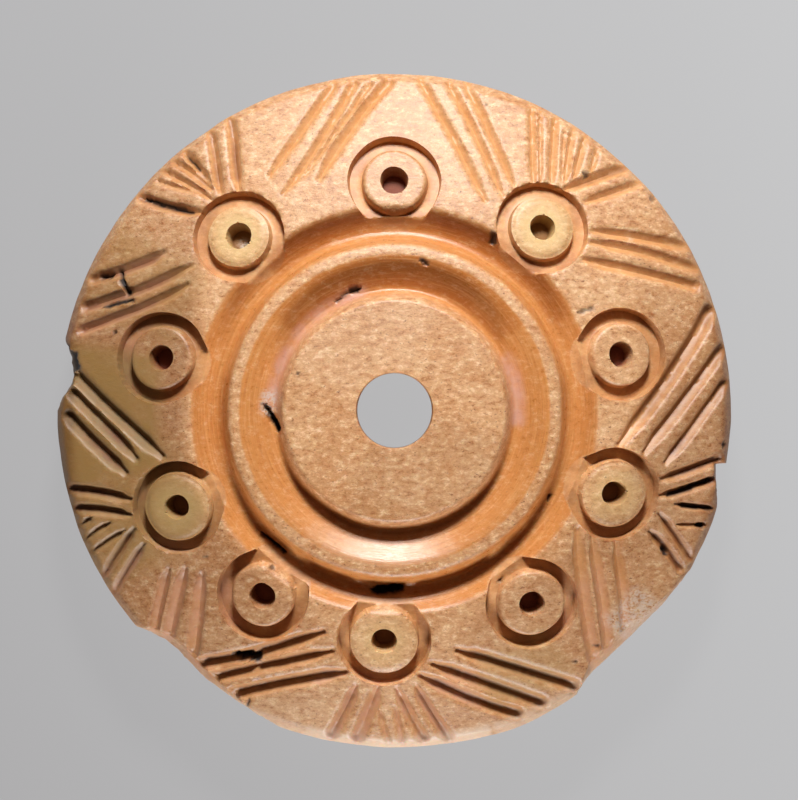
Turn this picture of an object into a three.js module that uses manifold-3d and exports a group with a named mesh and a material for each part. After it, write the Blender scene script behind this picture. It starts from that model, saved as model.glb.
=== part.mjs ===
// Bone spindle whorl: a domed disc turned from one piece of bone, with a flat underside,
// a raised boss round the spindle hole, two turned grooves, and a band of ten ring-and-dot eyes.
// Every other eye is a "star": it throws two bands of long strokes and a fan of short ones to the rim.
// Millimetres and degrees. Origin on the hole's axis at the underside, +Z up through the carved face.
// Angles run anticlockwise from +X, seen from above.

import * as THREE from "three";
import { mergeVertices } from "three/addons/utils/BufferGeometryUtils.js";
import Module from "manifold-3d";

const wasm = await Module();
wasm.setup();

// ---- Driving sizes ----

const RIM_RADIUS = 18;
const HEIGHT = 9;
const DOME_RADIUS = 40;
const HOLE_RADIUS = 2;
const EDGE_BREAK = 0.2;

// Where a groove curves, its points are [distance from the axis, depth below the boss].
const BOSS = { topRadius: 5.75, edgeRadius: 6, footRadius: 6.42, edgeDrop: 0.25 };
const INNER_GROOVE = { floorRadius: 6.6, outerRadius: 8.25, depth: 1.65, rise: [[7.8, 1.045], [7.1, 1.48]] };
const RIDGE = { outerRadius: 8.82, wall: [[9.15, 2.02], [8.95, 1.25]] };
const OUTER_GROOVE = { floorRadius: 9.55, outerRadius: 10.85, depth: 2.32, rise: [[10.5, 1.8], [10.1, 2.13]] };
const BAND_EDGE_RADIUS = 17.5;
const RIM = { shoulderDrop: 0.75, footRadius: 17.6, footHeight: 0.5 };
const TURNED_SEGMENTS = 54;

// The rim bellies out a little on one side, where the bone was thickest.
const SWELL = { angle: 292, halfWidth: 10, amount: 0.18 };

const SOCKET = { radius: 2.5, depth: 0.68, draft: 0.06, segments: 20 };
const PIT = { depth: 1.1, floorShare: 0.7, segments: 10 };
const CUTTER_RISE = 1.2;

const STROKE_END_RADIUS = 17.7;
const STROKE_TIP_SHARE = 0.35;
const STROKE_SIDES = 4;

// ---- Carving plan ----

// Eyes: where each stands (angle, distance from the axis), its boss and its drilled pit.
const EYES = [
  { angle: 13.9, distance: 12.45, boss: 1.6, pit: 0.6 },
  { angle: 51, distance: 12.55, boss: 1.65, pit: 0.58 },
  { angle: 90.1, distance: 12.25, boss: 1.65, pit: 0.66 },
  { angle: 131.8, distance: 12.48, boss: 1.62, pit: 0.62 },
  { angle: 167.3, distance: 12.76, boss: 1.65, pit: 0.6 },
  { angle: 203.9, distance: 12.7, boss: 1.75, pit: 0.58 },
  { angle: 234.6, distance: 12.15, boss: 1.62, pit: 0.62 },
  { angle: 267.4, distance: 12.3, boss: 1.75, pit: 0.6 },
  { angle: 305.4, distance: 12.65, boss: 1.72, pit: 0.6 },
  { angle: 339.3, distance: 12.52, boss: 1.72, pit: 0.6 },
];

// Strokes of the five star eyes, each from its eye to the rim:
// [angle at the eye, distance at the eye, angle at the rim, width, distance at the rim if not the usual].
const STAR_STROKES = {
  upperRight: {
    lowerBand: [
      [38.5, 12.9, 22.5, 0.6, 17.4],
      [40.5, 13.8, 25, 0.55],
      [42, 14.3, 29, 0.55],
    ],
    fan: [
      [47.5, 15.1, 43, 0.5],
      [52.5, 14.9, 46.5, 0.6],
      [50.5, 16.6, 52, 0.35],
      [52.5, 15.8, 55, 0.4],
      [53.5, 15.3, 57.5, 0.4],
      [54, 15.2, 58.5, 0.25],
      [55.5, 14.8, 61, 0.45],
      [57.5, 14.6, 64, 0.25],
      [58.5, 14.3, 65.5, 0.4],
    ],
    upperBand: [
      [62, 13.6, 77.5, 0.55],
      [63, 12.8, 80.5, 0.55],
      [66.5, 12.2, 85.5, 0.6],
    ],
  },
  upperLeft: {
    upperBand: [
      [108, 13, 91, 0.7],
      [117, 13, 97, 0.55],
      [118, 14.2, 100.5, 0.6],
    ],
    fan: [
      [125, 14.6, 119.5, 0.6],
      [128.5, 14.9, 123.5, 0.55],
      [129, 15.7, 129, 0.5],
      [129.5, 15.3, 131.5, 0.45],
      [131, 14.9, 134, 0.4],
      [132.5, 15.8, 136, 0.3],
      [134.5, 14.8, 140, 0.6],
    ],
    lowerBand: [
      [145.5, 14.9, 156.5, 0.6],
      [144.5, 13.3, 161.5, 0.6, 17.4],
      [148.5, 12.9, 165.5, 0.55, 17.2],
    ],
  },
  left: {
    upperBand: [
      [191, 12.6, 174, 0.75, 17],
      [190.5, 14, 177, 0.7, 17.2],
      [193, 14.7, 181, 0.75, 17.4],
    ],
    fan: [
      [198.5, 14.9, 193.5, 0.65],
      [201.5, 15.2, 197, 0.6],
      [199.5, 17.1, 200, 0.4],
      [201.5, 16.4, 202.5, 0.4],
      [204, 15.8, 205, 0.4],
      [204.5, 15.3, 209.5, 0.55],
      [208, 15.2, 213, 0.5],
    ],
    lowerBand: [
      [215, 14.7, 222.5, 0.55, 17.3],
      [217, 14, 225, 0.7, 17.1],
      [220.5, 13.5, 231, 0.7, 17.2],
    ],
  },
  bottom: {
    leftBand: [
      [252.5, 12.4, 232, 0.6, 17.2],
      [255.5, 13.3, 235, 0.55, 17.5],
      [259.5, 14.2, 240.5, 0.6, 17.4],
    ],
    fan: [
      [262, 14.9, 259, 0.65],
      [266.5, 14.8, 263.5, 0.7],
      [267, 16, 269, 0.3],
      [270, 15.9, 271.5, 0.35],
      [270.5, 14.9, 275, 0.6],
      [274.5, 14.8, 279.5, 0.6],
    ],
    rightBand: [
      [275.5, 14.2, 292, 0.6, 17.5],
      [278.5, 13.7, 296.5, 0.65, 17.5],
      [284.5, 13.2, 303, 0.65],
    ],
  },
  right: {
    lowerBand: [
      [327, 11.6, 308, 0.75, 17.5],
      [327.5, 12.5, 311.5, 0.65, 17.3],
      [329.5, 13.7, 315.5, 0.6, 17.4],
    ],
    fan: [
      [334.5, 15.1, 331, 0.6, 17.5],
      [338.5, 15.2, 333.5, 0.55],
      [338, 16.3, 340, 0.35],
      [341.5, 15.8, 343, 0.4],
      [342, 14.9, 348, 0.55],
      [345.5, 14.7, 351.5, 0.6],
    ],
    upperBand: [
      [349, 14.7, 4.5, 0.6],
      [350.5, 13.5, 10.5, 0.7],
      [351.5, 12.1, 17.5, 0.85],
    ],
  },
};

// Old breaks along the rim: the new edge of each, as [angle, distance], and how far its face leans in
// from the underside to the top.
const BREAKS = [
  { edge: [[167.6, 18], [169.5, 17.75], [172, 17.36], [176.5, 17.4], [178.2, 17.85]], lean: 2 },
  { edge: [[222, 18], [225, 17.45], [228, 17.38], [236, 17.68], [249, 17.98]], lean: 6 },
  { edge: [[303, 18], [308, 17.67], [315, 17.64], [323, 17.8], [331, 18]], lean: 8 },
  { edge: [[344.6, 18], [345.4, 17.74], [349.6, 17.72], [350.2, 18]], lean: 4 },
];
const BREAK_REACH = 21;

// ---- Shared geometry ----

// Height of the uncut dome at a distance from the axis.
function domeHeight(distance) {
  return HEIGHT - DOME_RADIUS + Math.sqrt(DOME_RADIUS ** 2 - distance ** 2);
}

function onPlan(angle, distance, height = 0) {
  const turn = THREE.MathUtils.degToRad(angle);
  return new THREE.Vector3(distance * Math.cos(turn), distance * Math.sin(turn), height);
}

// A point on the uncut dome.
function onDome(angle, distance) {
  return onPlan(angle, distance, domeHeight(distance));
}

// A closed three.js geometry as a solid that can be joined and cut.
function solidOf(geometry) {
  const bare = geometry.clone();
  bare.deleteAttribute("normal");
  bare.deleteAttribute("uv");
  const merged = mergeVertices(bare, 1e-4);
  return new wasm.Manifold(
    new wasm.Mesh({
      numProp: 3,
      vertProperties: new Float32Array(merged.attributes.position.array),
      triVerts: new Uint32Array(merged.index.array),
    }),
  );
}

function geometryOf(solid) {
  const mesh = solid.getMesh();
  const geometry = new THREE.BufferGeometry();
  geometry.setAttribute("position", new THREE.BufferAttribute(new Float32Array(mesh.vertProperties), 3));
  geometry.setIndex(new THREE.BufferAttribute(new Uint32Array(mesh.triVerts), 1));
  geometry.computeVertexNormals();
  return geometry;
}

// A turned solid about +Z from [distance, height] points, listed from the axis or the hole outwards
// along the underside and back over the top.
function turned(points, segments) {
  const outline = points.map(([distance, height]) => new THREE.Vector2(distance, height));
  return new THREE.LatheGeometry(outline, segments).rotateX(Math.PI / 2);
}

// ---- Turned body ----

// Points from a to b along a curve that sags (or crowns, if negative) by the given share of its rise.
function curveBetween(a, b, steps, sag) {
  const points = [];
  for (let i = 1; i < steps; i += 1) {
    const t = i / steps;
    const bend = 4 * t * (1 - t) * sag;
    points.push([THREE.MathUtils.lerp(a[0], b[0], t), THREE.MathUtils.lerp(a[1], b[1], t) - bend]);
  }
  return points;
}

function bodyOutline() {
  const sunk = (points) => points.map(([distance, depth]) => [distance, HEIGHT - depth]);
  const rimTop = [BAND_EDGE_RADIUS, domeHeight(BAND_EDGE_RADIUS)];
  const rimSide = [RIM_RADIUS, rimTop[1] - RIM.shoulderDrop];
  const rimFoot = [RIM.footRadius, RIM.footHeight];
  const bandInner = [OUTER_GROOVE.outerRadius, domeHeight(OUTER_GROOVE.outerRadius)];
  const outerFloor = [OUTER_GROOVE.floorRadius, HEIGHT - OUTER_GROOVE.depth];
  const ridgeOuter = [RIDGE.outerRadius, domeHeight(RIDGE.outerRadius)];
  const ridgeInner = [INNER_GROOVE.outerRadius, domeHeight(INNER_GROOVE.outerRadius)];
  const innerFloor = [INNER_GROOVE.floorRadius, HEIGHT - INNER_GROOVE.depth];
  const bossFoot = [BOSS.footRadius, innerFloor[1] + 0.1];
  const bossEdge = [BOSS.edgeRadius, HEIGHT - BOSS.edgeDrop];
  const bossTop = [BOSS.topRadius, HEIGHT];
  const bandSteps = 2;
  const band = [];
  for (let i = 1; i < bandSteps; i += 1) {
    const distance = THREE.MathUtils.lerp(BAND_EDGE_RADIUS, OUTER_GROOVE.outerRadius, i / bandSteps);
    band.push([distance, domeHeight(distance)]);
  }
  const start = [HOLE_RADIUS, EDGE_BREAK];
  return [
    start,
    [HOLE_RADIUS + EDGE_BREAK, 0],
    [RIM.footRadius - RIM.footHeight, 0],
    rimFoot,
    rimSide,
    ...curveBetween(rimSide, rimTop, 3, -0.16),
    rimTop,
    ...band,
    bandInner,
    ...sunk(OUTER_GROOVE.rise),
    outerFloor,
    ...sunk(RIDGE.wall),
    ridgeOuter,
    ridgeInner,
    ...sunk(INNER_GROOVE.rise),
    innerFloor,
    bossFoot,
    bossEdge,
    bossTop,
    [HOLE_RADIUS + EDGE_BREAK, HEIGHT],
    [HOLE_RADIUS, HEIGHT - EDGE_BREAK],
    start,
  ];
}

// The rim's slight belly: points near the rim move outwards on one side.
function swellRim(geometry) {
  const position = geometry.attributes.position;
  for (let i = 0; i < position.count; i += 1) {
    const x = position.getX(i);
    const y = position.getY(i);
    const distance = Math.hypot(x, y);
    const angle = THREE.MathUtils.radToDeg(Math.atan2(y, x));
    const away = THREE.MathUtils.euclideanModulo(angle - SWELL.angle + 180, 360) - 180;
    const nearRim = THREE.MathUtils.smoothstep(distance, OUTER_GROOVE.outerRadius, RIM_RADIUS);
    const grow = 1 + (SWELL.amount / RIM_RADIUS) * nearRim * Math.exp(-((away / SWELL.halfWidth) ** 2));
    position.setXY(i, x * grow, y * grow);
  }
  return geometry;
}

// ---- Carving ----

// Sets a cutter that was made about +Z at the origin upright on the dome at a place.
function standOnDome(geometry, angle, distance) {
  const place = onDome(angle, distance);
  const centre = new THREE.Vector3(0, 0, HEIGHT - DOME_RADIUS);
  const outward = place.clone().sub(centre).normalize();
  const turn = new THREE.Quaternion().setFromUnitVectors(new THREE.Vector3(0, 0, 1), outward);
  return geometry.applyQuaternion(turn).translate(place.x, place.y, place.z);
}

// The round trench that leaves an eye's boss standing.
function socketCutter(eye) {
  const { radius, depth, draft, segments } = SOCKET;
  const outline = [
    [eye.boss + draft, -depth],
    [radius - draft, -depth],
    [radius + draft, CUTTER_RISE],
    [eye.boss - draft, CUTTER_RISE],
    [eye.boss + draft, -depth],
  ];
  return standOnDome(turned(outline, segments), eye.angle, eye.distance);
}

// The drilled pit in an eye's boss, narrowing to its floor.
function pitCutter(eye) {
  const outline = [
    [0, -PIT.depth],
    [eye.pit * PIT.floorShare, -PIT.depth],
    [eye.pit, 0],
    [eye.pit, CUTTER_RISE],
    [0, CUTTER_RISE],
  ];
  return standOnDome(turned(outline, PIT.segments), eye.angle, eye.distance);
}

// A gouged stroke: a tapering bar that lies half sunk in the dome, thin at the eye, full at the rim.
function strokeCutter([fromAngle, fromDistance, toAngle, width, toDistance = STROKE_END_RADIUS]) {
  const from = onDome(fromAngle, fromDistance);
  const to = onDome(toAngle, toDistance);
  const along = to.clone().sub(from);
  const length = along.length();
  const middle = from.clone().add(to).multiplyScalar(0.5);
  const bar = new THREE.CylinderGeometry(width / 2, (width / 2) * STROKE_TIP_SHARE, length, STROKE_SIDES);
  const up = new THREE.Vector3(0, 0, 1);
  const ahead = along.normalize();
  const side = new THREE.Vector3().crossVectors(ahead, up).normalize();
  const over = new THREE.Vector3().crossVectors(side, ahead);
  const frame = new THREE.Matrix4().makeBasis(side, ahead, over);
  return bar.applyMatrix4(frame).translate(middle.x, middle.y, middle.z);
}

// What an old break has taken off the rim, through the full height, its face leaning inwards upwards.
function breakCutter({ edge, lean }) {
  const shape = new THREE.Shape();
  const corners = edge.map(([angle, distance]) => onPlan(angle, distance));
  const first = edge[0][0];
  const last = edge[edge.length - 1][0];
  const outside = [last, (first + last) / 2, first].map((angle) => onPlan(angle, BREAK_REACH));
  [...corners, ...outside].forEach(({ x, y }, i) => (i ? shape.lineTo(x, y) : shape.moveTo(x, y)));
  const block = new THREE.ExtrudeGeometry(shape, { depth: HEIGHT + 2, bevelEnabled: false });
  const inwards = onPlan((first + last) / 2, -1);
  const slope = Math.tan(THREE.MathUtils.degToRad(lean));
  const shear = new THREE.Matrix4().makeShear(0, 0, 0, 0, inwards.x * slope, inwards.y * slope);
  const restAt = domeHeight(RIM_RADIUS) - RIM.shoulderDrop;
  return block.translate(0, 0, -restAt).applyMatrix4(shear).translate(0, 0, restAt - 1);
}

// ---- The part ----

function carve() {
  let body = solidOf(swellRim(turned(bodyOutline(), TURNED_SEGMENTS)));
  const strokes = Object.values(STAR_STROKES).flatMap((star) => Object.values(star).flat());
  const cutters = [
    ...EYES.map(socketCutter),
    ...EYES.map(pitCutter),
    ...strokes.map(strokeCutter),
    ...BREAKS.map(breakCutter),
  ];
  for (const cutter of cutters) {
    body = body.subtract(solidOf(cutter));
  }
  return geometryOf(body);
}

const bone = new THREE.MeshStandardMaterial({ color: 0xd09a62, roughness: 0.45, metalness: 0 });
const whorl = new THREE.Mesh(carve(), bone);
whorl.name = "whorl";

const part = new THREE.Group();
part.add(whorl);

export default part;
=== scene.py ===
"""Bone spindle whorl for Blender: one turned and carved disc of bone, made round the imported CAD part.

The turned blank is meshed here, finely where it will be carved. A Geometry Nodes tree then cuts the
strokes, the ring-and-dot eyes and the old cracks and pits, and stores what it cut as attributes, which
the bone finish reads. Sizes are in millimetres and degrees, angles run anticlockwise from +X seen from
above, and the finished mesh is in metres in the part's own frame.
"""

import math

import bmesh
import bpy
import numpy as np
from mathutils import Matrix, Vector, geometry


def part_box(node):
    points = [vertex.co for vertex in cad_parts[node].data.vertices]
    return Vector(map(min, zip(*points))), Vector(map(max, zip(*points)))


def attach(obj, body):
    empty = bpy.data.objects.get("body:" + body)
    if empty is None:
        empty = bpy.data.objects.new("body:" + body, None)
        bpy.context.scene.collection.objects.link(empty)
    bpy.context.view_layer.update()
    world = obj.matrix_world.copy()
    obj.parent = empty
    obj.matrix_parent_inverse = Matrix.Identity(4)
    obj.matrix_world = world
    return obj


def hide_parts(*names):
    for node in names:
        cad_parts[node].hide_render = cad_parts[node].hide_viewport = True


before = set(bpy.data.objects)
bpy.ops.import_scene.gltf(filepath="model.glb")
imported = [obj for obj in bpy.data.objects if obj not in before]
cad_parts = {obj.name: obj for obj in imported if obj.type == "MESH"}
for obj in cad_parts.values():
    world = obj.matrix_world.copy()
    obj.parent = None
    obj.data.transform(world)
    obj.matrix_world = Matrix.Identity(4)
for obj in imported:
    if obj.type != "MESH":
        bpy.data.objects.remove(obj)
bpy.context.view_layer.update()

# ---- Driving sizes ----

MM = 0.001
PART_LOW, PART_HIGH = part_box("whorl")
RIM_RADIUS = (PART_HIGH.y - PART_LOW.y) / 2 / MM
HEIGHT = (PART_HIGH.z - PART_LOW.z) / MM
DOME_RADIUS = 40
HOLE_RADIUS = 2
EDGE_BREAK = 0.2
HOLE_EDGE = HOLE_RADIUS + EDGE_BREAK

# Turned top, worn round at its edges: distance from the axis, and depth below the top of the CAD part.
# Carving the strokes also trims the boss to the dome's curve, which takes less than 0.1 mm off it.
BOSS = [
    (2, 0), (3, 0.05), (4, 0.13), (5, 0.235), (5.4, 0.29), (5.65, 0.335), (5.82, 0.4), (5.94, 0.53),
    (6.03, 0.74), (6.13, 1.06),
]
INNER_GROOVE = [
    (6.25, 1.42), (6.37, 1.6), (6.5, 1.64), (6.65, 1.61), (6.8, 1.55), (7, 1.46), (7.2, 1.36), (7.4, 1.25),
    (7.6, 1.135), (7.8, 1.02), (8, 0.925), (8.15, 0.885),
]
RIDGE = [(8.28, 0.872), (8.5, 0.905), (8.68, 0.955), (8.8, 1.02), (8.9, 1.15), (8.98, 1.38)]
OUTER_GROOVE = [
    (9.08, 1.75), (9.2, 2.08), (9.38, 2.25), (9.6, 2.32), (9.8, 2.28), (10, 2.19), (10.2, 2.06), (10.4, 1.9),
    (10.6, 1.71), (10.76, 1.59),
]
BAND_INNER, BAND_OUTER = 10.95, 17.5
RIM_DROP = 0.75
RIM_FOOT_RADIUS, RIM_FOOT_HEIGHT = 17.6, 0.5
FLAT_RADIUS = 17.1
SWELL_ANGLE, SWELL_HALF_WIDTH, SWELL_AMOUNT = 292, 10, 0.18
EDGE_WEAR = 0.05

SOCKET_RADIUS, SOCKET_DEPTH = 2.5, 0.68
PIT_DEPTH = 1.1
BOSS_WALL, SOCKET_WALL = 0.14, 0.1
PIT_WALL_INSIDE, PIT_WALL_OUTSIDE = 0.07, 0.09
STROKE_DEPTH_SHARE = 0.58
STROKE_TIP_SHARE = 0.55
UPPER_PART = (2.5, 4.0)

# Mesh spacing.
RIM_SEAM = 17.2
RIM_STEPS, HOLE_STEPS, GROOVE_STEPS = 800, 144, 440
SEAMS = [(0, HOLE_STEPS), (HOLE_STEPS, RIM_STEPS)]
FEATURE_GAP, FILL_GAP = 0.045, 0.1
BAND_SPACING, BOSS_SPACING, UNDERSIDE_SPACING = 0.155, 0.24, 0.6
EYE_STEPS, STROKE_SPACING = 104, 0.14

# ---- Carving plan ----

# Eyes: angle, distance, boss radius, pit radius, softness of the worn edges.
EYES = [
    (13.9, 12.45, 1.6, 0.6, 0.3),
    (51, 12.55, 1.65, 0.58, 0.8),
    (90.1, 12.25, 1.65, 0.66, 0.3),
    (131.8, 12.48, 1.62, 0.62, 0.7),
    (167.3, 12.76, 1.65, 0.6, 0.3),
    (203.9, 12.7, 1.75, 0.58, 0.9),
    (234.6, 12.15, 1.62, 0.62, 0.35),
    (267.4, 12.3, 1.75, 0.6, 0.7),
    (305.4, 12.65, 1.72, 0.6, 0.35),
    (339.3, 12.52, 1.72, 0.6, 0.8),
]

# Strokes of the star eyes: angle and distance at the eye, angle and distance at the rim, width, and
# how far the line bows to its left.
STROKES = {
    "upper right star": [
        (38.5, 12.9, 22.5, 17.4, 0.6, 0.02), (40.5, 13.8, 25, 17.9, 0.55, 0.12),
        (42, 14.3, 29, 18, 0.55, 0.04), (47.5, 15.1, 43, 17.8, 0.5, 0),
        (52.5, 14.9, 46.5, 17.9, 0.6, 0), (50.5, 16.6, 52, 17.6, 0.35, 0),
        (52.5, 15.8, 55, 17.8, 0.4, 0), (53.5, 15.3, 57.5, 17.8, 0.4, 0),
        (54, 15.2, 58.5, 17.4, 0.25, 0), (55.5, 14.8, 61, 17.7, 0.45, 0),
        (57.5, 14.5, 64, 17.8, 0.25, 0), (58.5, 14.2, 65.5, 17.7, 0.4, 0),
        (66.5, 12.2, 85.5, 17.7, 0.46, -0.09), (63, 12.8, 80.5, 17.7, 0.42, -0.1),
        (62, 13.6, 77.5, 17.8, 0.44, -0.06),
    ],
    "upper left star": [
        (108, 13, 91, 17.6, 0.55, 0.17), (117, 13, 97, 17.6, 0.45, -0.14),
        (118, 14.2, 100.5, 17.7, 0.48, 0), (111, 13.4, 94.3, 17.5, 0.3, -0.04),
        (125, 14.5, 119.5, 17.8, 0.6, 0.02),
        (128.5, 14.9, 123.5, 17.8, 0.55, 0.04), (129, 15.7, 129, 17.7, 0.5, 0),
        (129.5, 15.3, 131.5, 17.8, 0.45, -0.07), (131, 14.9, 134, 17.8, 0.4, -0.09),
        (132.5, 15.8, 136, 17.6, 0.3, 0), (134.5, 14.8, 140, 17.7, 0.6, 0.1),
        (145.5, 14.9, 156.5, 17.6, 0.6, 0.09), (144.5, 13.3, 161.5, 17.4, 0.6, 0.14),
        (148.5, 12.9, 165.5, 17.2, 0.55, 0.13),
    ],
    "left star": [
        (191, 12.6, 174, 17, 0.75, 0.09), (190.5, 14, 177, 17.2, 0.7, 0),
        (193, 14.7, 181, 17.4, 0.75, 0.08), (198.5, 14.9, 193.5, 17.8, 0.65, -0.08),
        (201.5, 15.2, 197, 17.8, 0.6, -0.08), (199.5, 17.2, 200, 17.9, 0.4, 0),
        (201.5, 16.4, 202.5, 17.9, 0.4, 0), (204, 15.8, 205, 17.9, 0.4, 0),
        (204.5, 15.3, 209.5, 17.8, 0.55, -0.03), (208, 15.2, 213, 17.9, 0.5, 0),
        (215, 14.7, 222.5, 17.4, 0.55, -0.07), (217, 14, 225, 17.1, 0.7, -0.02),
        (220.5, 13.5, 231, 17.2, 0.7, -0.03),
    ],
    "bottom star": [
        (252.5, 12.4, 232, 17.2, 0.78, 0.19), (255.5, 13.3, 235, 17.6, 0.74, -0.02),
        (259.5, 14.2, 240.5, 17.4, 0.78, -0.04), (262, 14.9, 259, 17.7, 0.65, 0.05),
        (266.5, 14.8, 263.5, 17.6, 0.7, 0.03), (267, 16, 269, 17.7, 0.3, 0),
        (270, 15.9, 271.5, 17.8, 0.35, 0), (270.5, 14.9, 275, 17.6, 0.6, -0.05),
        (274.5, 14.8, 279.5, 17.9, 0.6, -0.03), (275.5, 14.2, 292, 17.5, 0.74, -0.13),
        (278.5, 13.7, 296.5, 17.5, 0.78, 0.02), (284.5, 13.2, 303, 17.6, 0.78, -0.01),
    ],
    "right star": [
        (327, 11.6, 308, 17.5, 0.75, -0.13), (327.5, 12.5, 311.5, 17.3, 0.65, 0.05),
        (329.5, 13.7, 315.5, 17.4, 0.6, 0.06), (334.5, 15.1, 331, 17.5, 0.6, 0.08),
        (338.5, 15.2, 333.5, 17.7, 0.55, 0.03), (338, 16.3, 340, 17.8, 0.35, 0),
        (341.5, 15.8, 343, 17.9, 0.4, 0), (342, 14.9, 348, 17.7, 0.55, 0.01),
        (345.5, 14.7, 351.5, 17.6, 0.6, 0.02), (349, 14.7, 4.5, 17.7, 0.6, -0.04),
        (350.5, 13.5, 10.5, 17.8, 0.7, -0.04), (351.5, 12.1, 17.5, 17.7, 0.85, -0.22),
    ],
}

# Old cracks, pits and voids: angle and distance at each end, width, depth, darkness (dirt with painted
# shade).
MARKS = [
    (59.5, 10.3, 60.5, 10.75, 0.4, 0.3, 0.9), (77, 7.95, 79.5, 8.1, 0.3, 0.22, 0.8),
    (106, 6.75, 110, 6.8, 0.35, 0.3, 0.9), (110, 6.8, 118, 6.6, 0.18, 0.15, 0.7),
    (177.5, 6.95, 189, 6.25, 0.34, 0.6, 1), (222, 9.65, 232, 9.55, 0.22, 0.3, 0.8),
    (263, 9.65, 271.5, 9.5, 0.5, 0.5, 1), (329.5, 9.5, 331, 9.45, 0.25, 0.2, 0.8),
    (153, 16.6, 156, 15.6, 0.25, 0.3, 1), (155.5, 17.4, 154.6, 16.9, 0.3, 0.25, 0.8),
    (160.5, 16.5, 157, 15.2, 0.22, 0.25, 1), (169.4, 17.75, 172.2, 17.5, 0.95, 0.7, 1),
    (164.2, 15.4, 164.6, 15.45, 0.16, 0.2, 1), (236.5, 15.7, 241, 15.1, 0.42, 0.3, 1),
    (332, 16.5, 332.6, 16.2, 0.3, 0.25, 1), (39.1, 17.9, 39.7, 17.8, 0.3, 0.2, 0.5),
    (50.5, 16.2, 51.5, 16.25, 0.2, 0.15, 0.8), (28.2, 11, 27.4, 11.9, 0.2, 0.12, 0.6),
    (243.3, 17.2, 243.7, 17.9, 0.12, 0.15, 0.8), (305.4, 16.4, 305.9, 16.6, 0.12, 0.1, 0.9),
    (310.3, 16.5, 310.8, 16.7, 0.12, 0.1, 0.9), (217.5, 12.75, 217.8, 12.75, 0.16, 0.2, 1),
    (301.3, 10.8, 301.9, 10.8, 0.3, 0.15, 0.5), (231.4, 10.6, 232.2, 10.6, 0.22, 0.15, 0.7),
    (137.6, 4.15, 139, 3.8, 0.07, 0.08, 0.8), (158.5, 5.55, 160, 5.45, 0.07, 0.08, 0.8),
    (353.8, 17.7, 354.3, 17.7, 0.2, 0.15, 0.9), (73.5, 17.1, 73.8, 17.1, 0.16, 0.1, 0.6),
    (342.6, 15.3, 347.6, 17.3, 0.34, 0.12, 0.9), (341.6, 16, 342.9, 17.7, 0.3, 0.12, 0.9),
    (339.4, 17.3, 339.7, 17.55, 0.34, 0.2, 1), (135.6, 15.2, 139.6, 17.5, 0.2, 0.15, 1),
    (129, 16.6, 129, 17.6, 0.12, 0.1, 0.9),
]

# Old breaks along the rim: the new edge of each, and how far its face leans in towards the top.
BREAKS = [
    ([(167.6, 18), (169, 17.85), (171, 17.6), (173.8, 17.36), (175.2, 17.45), (177.3, 17.8), (180, 18)], 3),
    ([(220, 18), (223, 17.7), (225, 17.45), (228, 17.38), (236, 17.68), (243, 17.84), (250, 18)], 6),
    ([(303, 18), (308, 17.67), (315, 17.64), (323, 17.8), (332, 18)], 8),
    ([(343.5, 18), (346.6, 17.82), (350.6, 17.55), (351, 18)], 3),
]

# How much darker the colour is made towards the rim, most on the left: angle, distance at which it starts,
# strength, and how much stronger at the very rim.
DUSK = [
    (0, 12.8, 0.45, 1), (20, 13, 0.22, 1), (40, 15, 0.05, 1), (60, 16.5, 0.06, 1), (100, 16.5, 0.06, 1),
    (118, 15, 0.08, 1), (130, 14, 0.25, 0.5), (145, 12, 0.4, 0), (160, 10.5, 0.65, 0.1),
    (180, 10.5, 0.7, 1.2), (200, 10.7, 0.6, 0.2), (225, 10.6, 0.5, 0), (245, 10.8, 0.3, 0),
    (258, 12, 0.1, 0), (270, 13, 0, 0), (282, 12, 0.06, 0), (295, 10.9, 0.28, 0), (315, 11, 0.35, 0.2),
    (335, 11.4, 0.45, 0.5), (350, 12.5, 0.48, 1),
]
DUSK_SPREAD = 1.3
VERY_RIM, VERY_RIM_SPREAD = 17.1, 0.6

# Painted shade on the lower half of the boss top, which the key light from the top leaves darker, given as
# the stains are.
PAINTED_BOSS_SHADE = [(248, 338, 2, 5.6, 1.2, 0.2)]
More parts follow.
